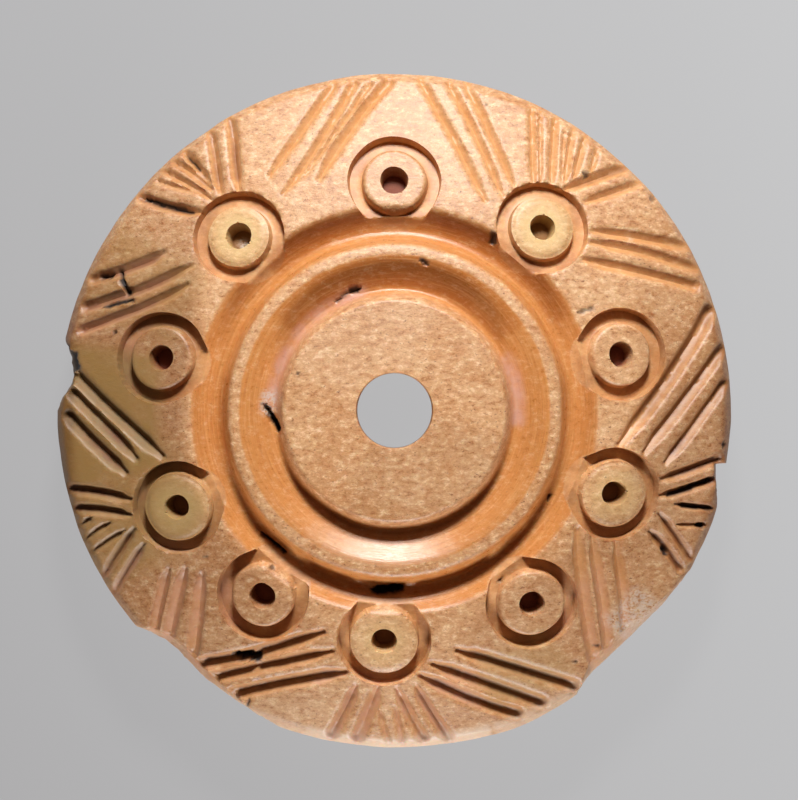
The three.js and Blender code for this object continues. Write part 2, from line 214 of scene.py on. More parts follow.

# Stains and tones in the bone, with painted light and painted shade among them: angle from and to, distance
# from and to, softness, strength.
STAINS = {
    "cream": [
        (51, 51, 12.55, 12.55, 2.3, 1), (131.8, 131.8, 12.48, 12.48, 2.3, 0.9),
        (339.3, 339.3, 12.52, 12.52, 2.2, 0.5), (203.9, 203.9, 12.7, 12.7, 2.2, 0.6),
        (267.4, 267.4, 12.3, 12.3, 2.2, 0.5),
    ],
    "olive": [
        (170, 192, 13.2, 17.6, 1.2, 1), (192, 208, 13, 18, 2.2, 0.75), (148, 160, 13, 17, 1.5, 0.4),
        (203.9, 203.9, 12.7, 12.7, 2.4, 0.9), (290, 303, 14.5, 16.5, 1, 0.35),
    ],
    "pink": [
        (355, 25, 6.35, 6.7, 0.5, 0.8), (105, 178, 6.35, 6.6, 0.5, 0.8), (140, 165, 14.5, 17, 1.0, 0.3),
        (210, 232, 13.5, 18, 1.0, 0.35), (255, 285, 14.6, 18, 0.8, 0.55), (306, 321, 14, 17, 1.0, 0.3),
    ],
    # Dirt and painted shade: in these places the strokes are made dark brown where they cut deepest.
    "dirt_and_painted_shade": [
        (328, 352, 15.2, 18, 1.2, 1), (186, 214, 15.2, 18, 1.2, 0.8), (120, 166, 14, 17.6, 1.2, 0.7),
        (42, 52, 15.2, 17.8, 0.8, 0.5), (276, 302, 13.5, 17.6, 1, 0.2), (233, 262, 13.2, 17.2, 1, 0.2),
        (0, 20, 13.5, 17.5, 1, 0.3),
    ],
    "pale": [
        (173, 180, 6.5, 6.9, 0.45, 0.8), (316, 323, 16.2, 17.2, 0.7, 0.6), (36, 36, 15.6, 15.6, 0.25, 0.6),
        (132.2, 132.2, 12.2, 12.2, 0.55, 1),
    ],
    # Painted shade: darker on the sides of both grooves that face away from the key light at the top; the
    # last two rows also darken the outer groove's inner side on the left and the ridge top at the bottom.
    "groove_painted_shade": [
        (35, 140, 6.7, 8.05, 0.4, 0.6), (55, 125, 6.8, 8, 0.5, 1), (30, 125, 9.7, 10.6, 0.4, 0.7),
        (45, 75, 9.7, 10.7, 0.5, 1), (108, 130, 9.7, 10.7, 0.5, 0.9), (170, 200, 8.9, 9.6, 0.5, 0.4),
        (240, 325, 8.4, 8.8, 0.3, 0.3),
    ],
    # Painted light: a highlight along the lower rim, where the low fill light glints, paler lower walls of
    # the inner groove, which face the key light, and a lighter upper part of the boss top.
    "painted_light": [
        (255, 286, 17.75, 18.2, 0.5, 1), (222, 255, 17.75, 18.2, 0.4, 0.6), (288, 325, 17.75, 18.2, 0.4, 0.7),
        (236, 292, 7.4, 8, 0.5, 0.16), (243, 287, 7.4, 8, 0.5, 0.28), (250, 281, 7.4, 8, 0.5, 0.4),
        (75, 150, 3, 5.2, 1.2, 0.12),
    ],
}


# ---- Turned blank ----


def on_plan(angle, distance):
    """Plan coordinates of places given by angle and distance."""
    turn = np.radians(angle)
    return np.stack(np.broadcast_arrays(distance * np.cos(turn), distance * np.sin(turn)), -1)


def polar_of(points):
    """Angle from 0 to 360 and distance of plan points."""
    x, y = points[..., 0], points[..., 1]
    return np.degrees(np.arctan2(y, x)) % 360, np.hypot(x, y)


def eased(share):
    """A share clipped to 0 and 1, with a soft start and end."""
    share = np.clip(share, 0, 1)
    return share * share * (3 - 2 * share)


def dome_height(distance):
    return HEIGHT - DOME_RADIUS + np.sqrt(DOME_RADIUS**2 - np.minimum(distance, DOME_RADIUS) ** 2)


def top_section():
    """Distances and heights of the turned top, from the hole to the widest of the rim, edges worn."""
    turned = BOSS + INNER_GROOVE + RIDGE + OUTER_GROOVE
    points = [(distance, HEIGHT - depth) for distance, depth in turned]
    points += [(float(d), float(dome_height(d))) for d in np.linspace(BAND_INNER, BAND_OUTER, 60)]
    edge = points[-1][1]
    for share in (0.15, 0.3, 0.45, 0.6, 0.75, 0.88, 1):
        points.append((BAND_OUTER + (RIM_RADIUS - BAND_OUTER) * share, edge - RIM_DROP * share**1.7))
    step = 0.01
    distances = np.arange(HOLE_RADIUS, RIM_RADIUS + step, step)
    heights = np.interp(distances, *np.array(points).T)
    reach = np.arange(-3 * EDGE_WEAR, 3 * EDGE_WEAR + step, step)
    kernel = np.exp(-((reach / EDGE_WEAR) ** 2) / 2)
    padded = np.pad(heights, len(reach) // 2, mode="edge")
    worn = np.convolve(padded, kernel / kernel.sum(), mode="valid")[: len(distances)]
    keep = distances > BAND_OUTER
    worn[keep] = heights[keep]
    return distances, worn


SECTION = top_section()


def top_height(distance):
    return np.interp(distance, *SECTION)


def ring(distance, height, steps):
    """A ring of points about the axis."""
    plan = on_plan(np.arange(steps) * 360 / steps, distance)
    return np.column_stack([plan, np.full(steps, float(height))])


def rows_between(rings):
    """A sheet of four-sided faces through rings of equally many points."""
    steps = len(rings[0])
    faces = []
    for row in range(len(rings) - 1):
        for i in range(steps):
            j = (i + 1) % steps
            a, b = row * steps, (row + 1) * steps
            faces.append((a + i, b + i, b + j, a + j))
    return np.concatenate(rings), faces


def filled(points, inner, outer, seams):
    """Triangles through plan points, between an inner and an outer distance.

    Seams are rings to keep, each given by its first point and its number of points.
    """
    edges = []
    for start, steps in seams:
        edges += [(start + i, start + (i + 1) % steps) for i in range(steps)]
    made = geometry.delaunay_2d_cdt([Vector(p) for p in points], edges, [], 0, 1e-5)
    plan = np.array([tuple(v) for v in made[0]])
    faces = np.array(made[2])
    middle = np.hypot(*plan[faces].mean(1).T)
    return plan, faces[(middle > inner) & (middle < outer)]


def thinned(groups):
    """Points of each (points, gap) in turn that lie at least that gap from all kept before."""
    cell = 0.16
    kept, grid = [], {}
    for points, gap in groups:
        for x, y in points.tolist():
            column, row = math.floor(x / cell), math.floor(y / cell)
            cells = [(column + i, row + j) for i in (-1, 0, 1) for j in (-1, 0, 1)]
            others = [other for place in cells for other in grid.get(place, ())]
            if all((a - x) ** 2 + (b - y) ** 2 >= gap * gap for a, b in others):
                grid.setdefault((column, row), []).append((x, y))
                kept.append((x, y))
    return np.array(kept)


def honeycomb(spacing, inner, outer):
    """Plan points in a honeycomb between two distances."""
    rise = spacing * math.sqrt(3) / 2
    count = int(outer / rise) + 1
    rows = []
    for row in range(-count, count + 1):
        shift = spacing / 2 if row % 2 else 0
        x = np.arange(-outer, outer + spacing, spacing) + shift
        rows.append(np.column_stack([x, np.full(len(x), row * rise)]))
    points = np.concatenate(rows)
    distance = np.hypot(*points.T)
    return points[(distance > inner) & (distance < outer)]


def eye_axes(angle, distance):
    """An eye's centre on the dome, its axis, and two directions across it."""
    centre = Vector((*on_plan(angle, distance), float(dome_height(distance))))
    axis = (centre - Vector((0, 0, HEIGHT - DOME_RADIUS))).normalized()
    across = axis.cross(Vector((0, 0, 1))).normalized()
    return centre, axis, across, axis.cross(across)


def eye_ring(eye, radius, steps):
    """Plan points where a cylinder about the eye's axis meets the turned surface."""
    centre, axis, across, along = (np.array(v) for v in eye_axes(eye[0], eye[1]))
    turn = np.arange(steps) * 2 * math.pi / steps
    points = centre + radius * (np.outer(np.cos(turn), across) + np.outer(np.sin(turn), along))
    for _ in range(12):
        drop = points[:, 2] - top_height(np.hypot(points[:, 0], points[:, 1]))
        points = points - np.outer(drop * 0.8, axis)
    return points[:, :2]


def eye_points():
    """Rings of points that follow the edges of every eye's pit, boss and socket."""
    rings = []
    for eye in EYES:
        boss, pit = eye[2], eye[3]
        plain = [0.3, (pit + boss) / 2, (boss + SOCKET_RADIUS) / 2 + 0.05]
        edges = [pit - 0.08, pit - 0.01, pit + 0.04, pit + 0.1]
        edges += [boss - 0.22, boss - 0.12, boss - 0.04, boss + 0.04, boss + 0.12, boss + 0.22]
        edges += [SOCKET_RADIUS - 0.2, SOCKET_RADIUS - 0.12, SOCKET_RADIUS, SOCKET_RADIUS + 0.07]
        for radius in plain + edges:
            steps = max(24, round(EYE_STEPS * radius / SOCKET_RADIUS))
            rings.append(eye_ring(eye, radius, steps))
    return np.concatenate(rings)


def off_socket_edges(points):
    """The plan points that do not fall on the wall of a socket, where only its own rings may lie."""
    solid = np.column_stack([points, top_height(np.hypot(*points.T))])
    keep = np.ones(len(points), bool)
    for eye in EYES:
        centre, axis = (np.array(v) for v in eye_axes(eye[0], eye[1])[:2])
        offset = solid - centre
        out = np.linalg.norm(offset - np.outer(offset @ axis, axis), axis=1)
        keep &= (out < SOCKET_RADIUS - 0.17) | (out > SOCKET_RADIUS + 0.04)
    return points[keep]


def stroke_points():
    """Points along every stroke, on its bottom line, its walls and just outside its edges."""
    lines = []
    for stroke in sum(STROKES.values(), []):
        tail, head = on_plan(stroke[0], stroke[1]), on_plan(stroke[2], stroke[3])
        width, bow = stroke[4], stroke[5]
        length = float(np.hypot(*(head - tail)))
        left = np.array([tail[1] - head[1], head[0] - tail[0]]) / length
        t = np.linspace(0, 1, max(6, round(length / STROKE_SPACING)))[:, None]
        centre = tail + (head - tail) * t + left * bow * 4 * t * (1 - t)
        half = width / 2 * (STROKE_TIP_SHARE + (1 - STROKE_TIP_SHARE) * np.clip(t / 0.2, 0, 1))
        for share in (0, -0.5, 0.5, -0.96, 0.96):
            lines.append(centre + left * half * share)
        for side in (-1, 1):
            lines.append(centre + left * side * (half + 0.07))
    points = np.concatenate(lines)
    return points[np.hypot(*points.T) < RIM_SEAM - 0.05]


def turned_rings():
    """Rings that follow the edges and curves of the boss, the grooves and the ridge."""
    distances = [5.5, 5.65, 5.75, 5.83, 5.9, 5.96, 6.02, 6.1, 6.2, 6.3, 6.38, 6.44, 6.52, 6.62]
    distances += list(np.arange(6.75, 8.2, 0.15))
    distances += [8.2, 8.27, 8.33, 8.42, 8.55, 8.68, 8.78, 8.84, 8.9, 8.97, 9.05, 9.13, 9.21, 9.3]
    distances += [9.4, 9.5, 9.6, 9.7, 9.8, 9.92, 10.05, 10.18, 10.3, 10.42, 10.54, 10.66, 10.78]
    distances += [10.86, 10.92, 11.0]
    return np.concatenate([ring(d, 0, GROOVE_STEPS)[:, :2] for d in distances])


def top_sheet():
    """The carved side of the blank, from the hole's edge out to the seam near the rim."""
    hole = ring(HOLE_EDGE, 0, HOLE_STEPS)[:, :2]
    seam = ring(RIM_SEAM, 0, RIM_STEPS)[:, :2]
    points = thinned(
        [
            (hole, 0),
            (seam, 0),
            (eye_points(), FEATURE_GAP),
            (off_socket_edges(stroke_points()), FEATURE_GAP),
            (off_socket_edges(turned_rings()), FEATURE_GAP),
            (off_socket_edges(honeycomb(BAND_SPACING, BAND_INNER, RIM_SEAM - 0.06)), FILL_GAP),
            (honeycomb(BOSS_SPACING, HOLE_RADIUS + 0.3, 5.4), FILL_GAP),
        ]
    )
    plan, faces = filled(points, HOLE_EDGE, RIM_SEAM, SEAMS)
    return np.column_stack([plan, top_height(np.hypot(*plan.T))]), faces.tolist()


def rim_sheet():
    """The rim, from the seam over its rounded edge and down to the underside."""
    path = [(d, float(top_height(d))) for d in (RIM_SEAM, 17.3, 17.4, 17.47, 17.54, 17.62, 17.7, 17.78)]
    path += [(d, float(top_height(d))) for d in (17.85, 17.91, 17.96, RIM_RADIUS)]
    widest = path[-1][1]
    for share in (0.08, 0.18, 0.3, 0.44, 0.6, 0.76, 0.9, 1):
        distance = RIM_RADIUS - (RIM_RADIUS - RIM_FOOT_RADIUS) * share**1.5
        path.append((distance, widest + (RIM_FOOT_HEIGHT - widest) * share))
    path += [(17.45, 0.28), (17.28, 0.08), (FLAT_RADIUS, 0)]
    return rows_between([ring(d, h, RIM_STEPS) for d, h in path])


def underside_sheet():
    hole = ring(HOLE_EDGE, 0, HOLE_STEPS)[:, :2]
    seam = ring(FLAT_RADIUS, 0, RIM_STEPS)[:, :2]
    near = [ring(16.95, 0, 540)[:, :2], ring(16.7, 0, 360)[:, :2], ring(2.35, 0, 72)[:, :2]]
    points = thinned(
        [(hole, 0), (seam, 0), (np.concatenate(near), 0.05), (honeycomb(UNDERSIDE_SPACING, 2.6, 16.4), 0.1)]
    )
    plan, faces = filled(points, HOLE_EDGE, FLAT_RADIUS, SEAMS)
    return np.column_stack([plan, np.zeros(len(plan))]), faces[:, ::-1].tolist()


def hole_sheet():
    path = [(HOLE_EDGE, 0), (HOLE_RADIUS + 0.06, 0.06), (HOLE_RADIUS, EDGE_BREAK)]
    path += [(HOLE_RADIUS, h) for h in np.linspace(0.6, HEIGHT - 0.6, 16)]
    path += [(HOLE_RADIUS, HEIGHT - EDGE_BREAK), (HOLE_RADIUS + 0.06, HEIGHT - 0.06)]
    path.append((HOLE_EDGE, float(top_height(HOLE_EDGE))))
    return rows_between([ring(d, h, HOLE_STEPS) for d, h in path])


def stained(places, points):
    """How strongly a stain shows at each point."""
    angle, distance = polar_of(points)
    total = np.zeros(len(points))
    for start, end, near, far, soft, strength in places:
        middle, half = start + ((end - start) % 360) / 2, ((end - start) % 360) / 2
        sweep = np.radians(np.maximum(np.abs((angle - middle + 180) % 360 - 180) - half, 0)) * distance
        out = np.maximum(np.maximum(near - distance, distance - far), 0)
        total = np.maximum(total, strength * eased(1 - np.hypot(sweep, out) / soft))
    return total


def darkening_with_painted_shade(points):
    """How much darker the colour is made at each point: towards the rim, and with painted shade on the lower
    half of the boss top.
    """
    angle, distance = polar_of(points)
    angles, *rows = np.array(DUSK).T
    start, strength, more = (np.interp(angle, angles, row, period=360) for row in rows)
    rim = 1 + more * np.clip((distance - VERY_RIM) / VERY_RIM_SPREAD, 0, 1)
    return np.maximum(strength * rim * eased((distance - start) / DUSK_SPREAD), stained(PAINTED_BOSS_SHADE, points))


def broken_rim(points):
    """Moves points beyond an old break back to its face. Returns how far each point moved."""
    angle, distance = polar_of(points)
    limit = np.full(len(points), RIM_RADIUS + 1)
    for edge, lean in BREAKS:
        angles, distances = np.array(edge).T
        inside = (angle > angles[0]) & (angle < angles[-1])
        edge_here = np.interp(angle, angles, distances)
        depth_share = np.clip((RIM_RADIUS - edge_here) / 0.3, 0, 1)
        face = edge_here - points[:, 2] * math.tan(math.radians(lean)) * depth_share
        limit = np.where(inside, np.minimum(limit, face), limit)
    excess = np.maximum(distance - limit, 0)
    points[:, :2] *= (1 - 0.94 * excess / distance)[:, None]
    return excess


def swell_rim(points):
    """The rim bellies out a little on one side, where the bone was thickest."""
    angle, distance = polar_of(points)
    away = (angle - SWELL_ANGLE + 180) % 360 - 180
    near_rim = eased((distance - BAND_INNER) / (RIM_RADIUS - BAND_INNER))
    swell = SWELL_AMOUNT / RIM_RADIUS * near_rim * np.exp(-((away / SWELL_HALF_WIDTH) ** 2))
    points[:, :2] *= (1 + swell)[:, None]


def turned_blank():
    """The uncarved whorl as one closed mesh, in millimetres."""
    vertices, faces = [], []
    start = 0
    for points, sheet in (top_sheet(), rim_sheet(), underside_sheet(), hole_sheet()):
        vertices.append(points)
        faces += [[start + i for i in face] for face in sheet]
        start += len(points)
    points = np.concatenate(vertices)
    swell_rim(points)
    broken = broken_rim(points)
    mesh = bpy.data.meshes.new("whorl_blank")
    mesh.from_pydata(points.tolist(), [], faces)
    add_values(mesh, "broken", np.clip(broken / 0.12, 0, 1))
    add_values(mesh, "rim_dark_and_painted_shade", darkening_with_painted_shade(points))
    for name, places in STAINS.items():
        add_values(mesh, name, stained(places, points))
    shape = bmesh.new()
    shape.from_mesh(mesh)
    bmesh.ops.remove_doubles(shape, verts=shape.verts, dist=2e-4)
    bmesh.ops.recalc_face_normals(shape, faces=shape.faces)
    shape.to_mesh(mesh)
    shape.free()
    return mesh


def add_values(mesh, name, values, kind="FLOAT"):
    attribute = mesh.attributes.new(name, kind, "POINT")
    field = "vector" if kind == "FLOAT_VECTOR" else "value"
    attribute.data.foreach_set(field, np.asarray(values, np.float32).ravel())


# ---- Node trees ----


class Nodes:
    """Short calls for building a node tree."""

    def __init__(self, tree):
        self.tree = tree

    def add(self, kind, feeds=None, **settings):
        node = self.tree.nodes.new(kind)
        for name, value in settings.items():
            setattr(node, name, value)
        for name, value in (feeds or {}).items():
            self.feed(node.inputs[name], value)
        return node

    def feed(self, socket, value):
        if isinstance(value, bpy.types.NodeSocket):
            self.tree.links.new(value, socket)
        else:
            socket.default_value = value

    def math(self, operation, *values, clamp=False):
        node = self.add("ShaderNodeMath", operation=operation, use_clamp=clamp)
        for socket, value in zip(node.inputs, values):
            self.feed(socket, value)
        return node.outputs[0]

    def times(self, *values):
        product = values[0]
        for value in values[1:]:
            product = self.math("MULTIPLY", product, value)
        return product

    def vector(self, operation, *values):
        node = self.add("ShaderNodeVectorMath", operation=operation)
        sockets = node.inputs
        if operation == "SCALE":
            sockets = (node.inputs["Vector"], node.inputs["Scale"])
        for socket, value in zip(sockets, values):
            self.feed(socket, value)
        return node.outputs["Value" if operation in ("LENGTH", "DOT_PRODUCT") else "Vector"]

    def ramp(self, value, low, high, to_low=0.0, to_high=1.0, smooth=True):
        """Value from low to high becomes to_low to to_high, clamped."""
        kind = "SMOOTHSTEP" if smooth else "LINEAR"
        node = self.add("ShaderNodeMapRange", interpolation_type=kind)
        for socket, given in zip(node.inputs, (value, low, high, to_low, to_high)):
            self.feed(socket, given)
        return node.outputs[0]

    def noise(self, vector, scale, detail=2.0, roughness=0.5, color=False):
        feeds = {"Vector": vector, "Scale": scale, "Detail": detail, "Roughness": roughness}
        return self.add("ShaderNodeTexNoise", feeds).outputs["Color" if color else 0]

    def xyz(self, x, y, z):
        return self.add("ShaderNodeCombineXYZ", {"X": x, "Y": y, "Z": z}).outputs[0]

    def split(self, vector):
        return self.add("ShaderNodeSeparateXYZ", {"Vector": vector}).outputs


class CarvingNodes(Nodes):
    """Calls that only a geometry tree has."""

    def stored(self, name):
        return self.add("GeometryNodeInputNamedAttribute", {"Name": name}, data_type="FLOAT").outputs[0]

    def store(self, shape, name, value):
        feeds = {"Geometry": shape, "Name": name, "Value": value}
        return self.add("GeometryNodeStoreNamedAttribute", feeds, data_type="FLOAT").outputs[0]

    def planned(self, plan, name, index, kind="FLOAT"):
        """A value of one row of a plan."""
        if name == "position":
            source = self.add("GeometryNodeInputPosition").outputs[0]
        else:
            source = self.add("GeometryNodeInputNamedAttribute", {"Name": name}, data_type=kind).outputs[0]
        feeds = {"Geometry": plan, "Value": source, "Index": index}
        return self.add("GeometryNodeSampleIndex", feeds, data_type=kind).outputs[0]

    def move(self, shape, offset):
        return self.add("GeometryNodeSetPosition", {"Geometry": shape, "Offset": offset}).outputs[0]

    def position(self):
        return self.add("GeometryNodeInputPosition").outputs[0]


TREE_INPUTS = [
    ("Geometry", "NodeSocketGeometry", None),
    ("Eye plan", "NodeSocketObject", None),
    ("Stroke plan", "NodeSocketObject", None),
    ("Mark plan", "NodeSocketObject", None),
    ("Dome radius", "NodeSocketFloat", DOME_RADIUS),
    ("Whorl height", "NodeSocketFloat", HEIGHT),
    ("Socket radius", "NodeSocketFloat", SOCKET_RADIUS),
    ("Socket depth", "NodeSocketFloat", SOCKET_DEPTH),
    ("Pit depth", "NodeSocketFloat", PIT_DEPTH),
    ("Hand wobble", "NodeSocketFloat", 0.22),
    ("Grain height", "NodeSocketFloat", 0.012),
    ("Turning marks", "NodeSocketFloat", 0.02),
    ("Seed", "NodeSocketFloat", 7.0),
    ("Scale to metres", "NodeSocketFloat", MM),
    ("Finish", "NodeSocketMaterial", None),
]


def cut_along_plan(nodes, shape, plan, name, seed):
    """Stores, for every point, how deep the deepest line of a plan cuts there, and how dark it is."""
    shape = nodes.store(shape, name, 0.0)
    shape = nodes.store(shape, name + "_dark", 0.0)
    count = nodes.add("GeometryNodeAttributeDomainSize", {"Geometry": plan}).outputs["Point Count"]
    opening = nodes.add("GeometryNodeRepeatInput")
    closing = nodes.add("GeometryNodeRepeatOutput")
    opening.pair_with_output(closing)
    nodes.feed(opening.inputs["Iterations"], count)
    nodes.feed(opening.inputs["Geometry"], shape)
    row = opening.outputs["Iteration"]
    tail = nodes.planned(plan, "position", row, "FLOAT_VECTOR")
    head = nodes.planned(plan, "head", row, "FLOAT_VECTOR")
    width, depth, bow, rough, dark, tip = (
        nodes.planned(plan, value, row) for value in ("width", "depth", "bow", "rough", "dark", "tip")
    )
    x, y, _ = nodes.split(nodes.position())
    here = nodes.xyz(x, y, 0.0)
    wander = nodes.noise(nodes.vector("ADD", here, nodes.xyz(seed, seed, 0.0)), 2.4, 3.0, color=True)
    wander = nodes.vector("SCALE", nodes.vector("SUBTRACT", wander, (0.5, 0.5, 0.5)), rough)
    here = nodes.vector("ADD", here, nodes.vector("MULTIPLY", wander, (1.0, 1.0, 0.0)))
    run = nodes.vector("SUBTRACT", head, tail)
    along = nodes.vector("DOT_PRODUCT", nodes.vector("SUBTRACT", here, tail), run)
    t = nodes.math("DIVIDE", along, nodes.vector("DOT_PRODUCT", run, run), clamp=True)
    run_x, run_y, _ = nodes.split(nodes.vector("NORMALIZE", run))
    left = nodes.xyz(nodes.times(run_y, -1.0), run_x, 0.0)
    arch = nodes.times(t, nodes.math("SUBTRACT", 1.0, t), 4.0)
    closest = nodes.vector("ADD", tail, nodes.vector("SCALE", run, t))
    bowed = nodes.vector("SCALE", left, nodes.times(arch, bow))
    away = nodes.vector("LENGTH", nodes.vector("SUBTRACT", here, nodes.vector("ADD", closest, bowed)))
    widening = nodes.ramp(t, 0.0, 0.2, tip, 1.0)
    lip = nodes.times(width, 0.5, widening, 1.25)
    share = nodes.math("DIVIDE", away, lip, clamp=True)
    section = nodes.math("POWER", nodes.math("SUBTRACT", 1.0, nodes.math("POWER", share, 2.0)), 1.5)
    cut = nodes.times(section, nodes.times(depth, widening))
    shade = nodes.times(nodes.ramp(share, 0.55, 1.0, 1.0, 0.0), dark)
    inside = nodes.store(opening.outputs["Geometry"], name, nodes.math("MAXIMUM", nodes.stored(name), cut))
    deeper = nodes.math("MAXIMUM", nodes.stored(name + "_dark"), shade)
    nodes.feed(closing.inputs["Geometry"], nodes.store(inside, name + "_dark", deeper))
    return closing.outputs["Geometry"]


def away_from_dome(nodes, given):
    """The direction straight out of the dome at each point, and how far above the dome the point lies."""
    centre = nodes.xyz(0.0, 0.0, nodes.math("SUBTRACT", given["Whorl height"], given["Dome radius"]))
    from_centre = nodes.vector("SUBTRACT", nodes.position(), centre)
    rise = nodes.math("SUBTRACT", nodes.vector("LENGTH", from_centre), given["Dome radius"])
    return nodes.vector("NORMALIZE", from_centre), rise


def sink_strokes(nodes, shape, given):
    """Strokes go down from the dome, not from the surface, so they run out over the rounded rim.

    Whatever stands above the dome comes down to it, as the crown of the boss does.
    """
    outward, rise = away_from_dome(nodes, given)
    floor = nodes.times(nodes.stored("stroke"), -1.0)
    drop = nodes.math("SUBTRACT", nodes.math("MINIMUM", rise, floor), rise)
    return nodes.move(shape, nodes.vector("SCALE", outward, drop))


def cut_eyes(nodes, shape, given, eyes):
    """A socket round a boss, and a pit in the boss, cut along the nearest eye's own axis."""
    found = nodes.add("GeometryNodeSampleNearest", {"Geometry": eyes, "Sample Position": nodes.position()})
    nearest = found.outputs["Index"]
    centre = nodes.planned(eyes, "position", nearest, "FLOAT_VECTOR")
    axis = nodes.planned(eyes, "axis", nearest, "FLOAT_VECTOR")
    boss, pit, soft = (nodes.planned(eyes, value, nearest) for value in ("boss", "pit", "soft"))
    offset = nodes.vector("SUBTRACT", nodes.position(), centre)
    level = nodes.vector("DOT_PRODUCT", offset, axis)
    out = nodes.vector("LENGTH", nodes.vector("SUBTRACT", offset, nodes.vector("SCALE", axis, level)))

    boss_wall = nodes.ramp(out, boss, nodes.math("ADD", boss, BOSS_WALL))
    socket_foot = nodes.math("SUBTRACT", given["Socket radius"], SOCKET_WALL)
    socket_wall = nodes.ramp(out, socket_foot, given["Socket radius"], 1.0, -0.6, smooth=False)
    channel = nodes.times(nodes.math("MINIMUM", boss_wall, socket_wall), given["Socket depth"])
    shoulder = nodes.ramp(out, nodes.math("SUBTRACT", boss, nodes.times(soft, 0.45)), boss)
    worn = nodes.math("ADD", nodes.times(shoulder, shoulder, nodes.times(soft, 0.14)), 0.03)
    pit_floor = nodes.math("SUBTRACT", pit, PIT_WALL_INSIDE)
    in_pit = nodes.ramp(out, pit_floor, nodes.math("ADD", pit, PIT_WALL_OUTSIDE), 1.0, 0.0)
    depth = nodes.math("MAXIMUM", channel, nodes.times(in_pit, given["Pit depth"]))
    depth = nodes.math("MAXIMUM", depth, worn)

    inside = nodes.math("LESS_THAN", out, given["Socket radius"])
    target = nodes.math("MINIMUM", level, nodes.times(depth, -1.0))
    cut = nodes.times(nodes.math("SUBTRACT", target, level), inside)
    near_top = nodes.math("GREATER_THAN", level, -2.5)
    shape = nodes.store(shape, "socket", nodes.times(boss_wall, inside, near_top))
    shape = nodes.store(shape, "eye", nodes.times(inside, near_top))
    shape = nodes.store(shape, "pit", nodes.times(in_pit, near_top))
    return nodes.move(shape, nodes.vector("SCALE", axis, cut))


def sink_marks(nodes, shape, given):
    """Pits and cracks go into whatever surface they lie on, but not into the underside."""
    outward = away_from_dome(nodes, given)[0]
    upper = nodes.ramp(nodes.split(nodes.position())[2], *UPPER_PART)
    shape = nodes.store(shape, "mark_dark", nodes.times(nodes.stored("mark_dark"), upper))
    sunk = nodes.times(nodes.stored("mark"), upper, -1.0)
    return nodes.move(shape, nodes.vector("SCALE", outward, sunk))


def find_turned(nodes, shape):
    """Marks the two grooves, where the turning tool left a smooth face."""
    x, y, z = nodes.split(nodes.position())
    distance = nodes.vector("LENGTH", nodes.xyz(x, y, 0.0))
    inner = nodes.times(nodes.ramp(distance, 6.0, 6.4), nodes.ramp(distance, 8.2, 8.35, 1.0, 0.0))
    outer = nodes.times(nodes.ramp(distance, 8.8, 8.95), nodes.ramp(distance, 10.7, 10.95, 1.0, 0.0))
    turned = nodes.times(nodes.math("MAXIMUM", inner, outer), nodes.ramp(z, *UPPER_PART))
    turned = nodes.times(turned, nodes.math("SUBTRACT", 1.0, nodes.stored("eye")))
    return nodes.store(shape, "turned", turned)


def roughen(nodes, shape, given):
    """Turning marks in the grooves, grain on the uncut bone, and rough faces on the breaks."""
    x, y, z = nodes.split(nodes.position())
    distance = nodes.vector("LENGTH", nodes.xyz(x, y, 0.0))
    turned = nodes.stored("turned")
    rings = nodes.noise(nodes.xyz(distance, given["Seed"], 0.0), 4.0, 3.0, 0.7)
    rings = nodes.times(nodes.math("SUBTRACT", rings, 0.5), given["Turning marks"], turned)
    grain = nodes.noise(nodes.vector("MULTIPLY", nodes.position(), (0.8, 1.2, 1.0)), 2.2, 4.0, 0.65)
    uncut = nodes.math("SUBTRACT", 1.0, nodes.times(turned, 0.85))
    grain = nodes.times(nodes.math("SUBTRACT", grain, 0.5), given["Grain height"], uncut)
    rough = nodes.noise(nodes.position(), 1.3, 5.0, 0.7)
    rough = nodes.times(nodes.math("SUBTRACT", rough, 0.5), 0.35, nodes.stored("broken"))
    relief = nodes.math("ADD", nodes.math("ADD", rings, grain), rough)
    lifted = nodes.times(relief, nodes.ramp(z, 0.3, 0.9), nodes.ramp(distance, 2.1, 2.6))
    normal = nodes.add("GeometryNodeInputNormal").outputs[0]
    return nodes.move(shape, nodes.vector("SCALE", normal, lifted))


def drift_sideways(nodes, shape, given):
    """The hand's own unevenness: everything outside the hole drifts a little sideways."""
    x, y, _ = nodes.split(nodes.position())
    distance = nodes.vector("LENGTH", nodes.xyz(x, y, 0.0))
    drift = nodes.noise(nodes.vector("ADD", nodes.position(), (3.0, 5.0, 1.0)), 0.28, 2.0, color=True)
    drift = nodes.vector("MULTIPLY", nodes.vector("SUBTRACT", drift, (0.5, 0.5, 0.5)), (1.0, 1.0, 0.0))
    reach = nodes.times(given["Hand wobble"], nodes.ramp(distance, 2.2, 9.0))
    return nodes.move(shape, nodes.vector("SCALE", drift, reach))


